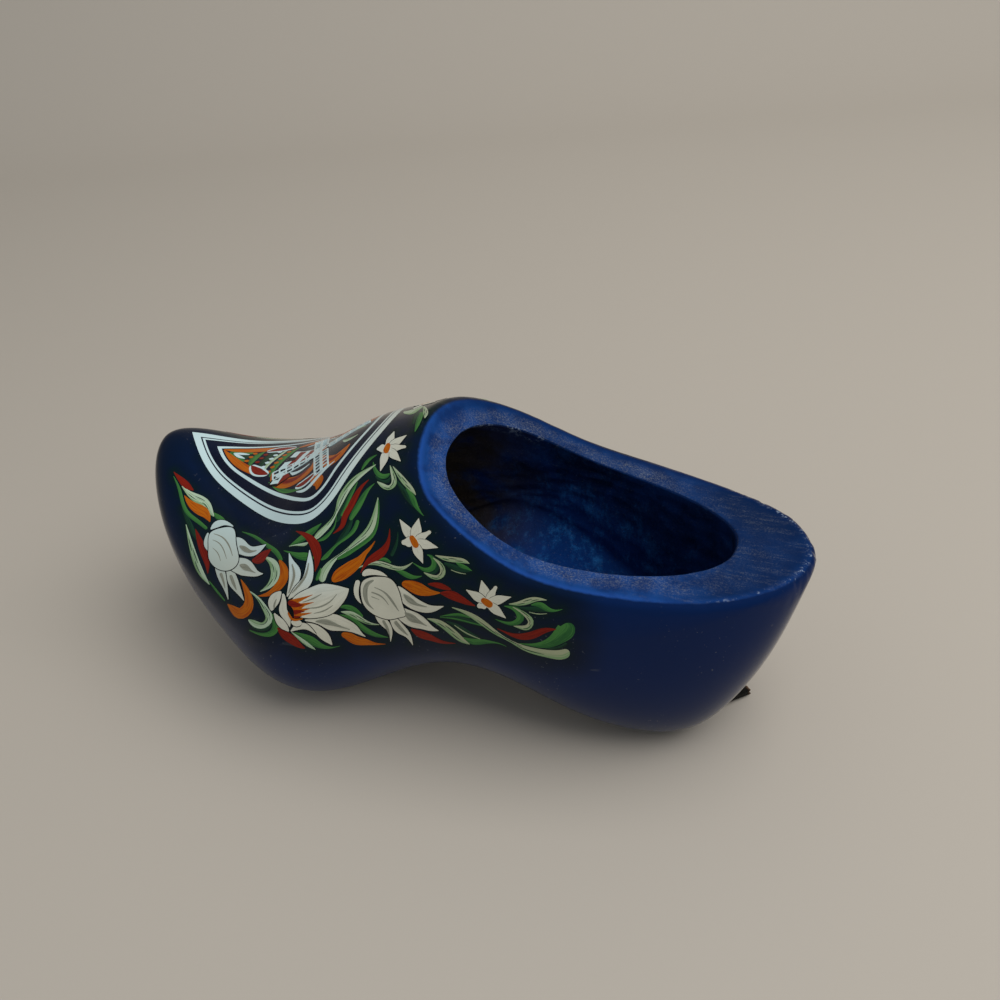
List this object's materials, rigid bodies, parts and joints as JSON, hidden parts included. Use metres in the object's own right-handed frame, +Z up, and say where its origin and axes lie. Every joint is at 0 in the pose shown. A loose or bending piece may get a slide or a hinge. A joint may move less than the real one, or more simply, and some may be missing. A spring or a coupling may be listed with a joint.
{
  "type": "decorative clog",
  "caption": "Souvenir wooden clog with an upturned toe, a foot-shaped hollow with a flat worn rim, and a short leather tab tacked in a groove under the heel.",
  "frame": {"origin": "on the surface the clog stands on, under the middle of its length and width", "axes": "+Z up, -X towards the toe, the clog's own plane of symmetry is XZ"},
  "size_m": [0.1598, 0.0754, 0.0683],
  "materials": {
    "lacquered_wood": "glossy dark blue lacquer outside, worn on the rim and matt inside",
    "dark_leather": "matt, dark brown, with a paler cut end",
    "tack_steel": "satin, a little dull"
  },
  "bodies": {
    "root": {"clog_body": "lacquered_wood", "heel_tab": "dark_leather", "tab_tack": "tack_steel"}
  },
  "joints": []
}
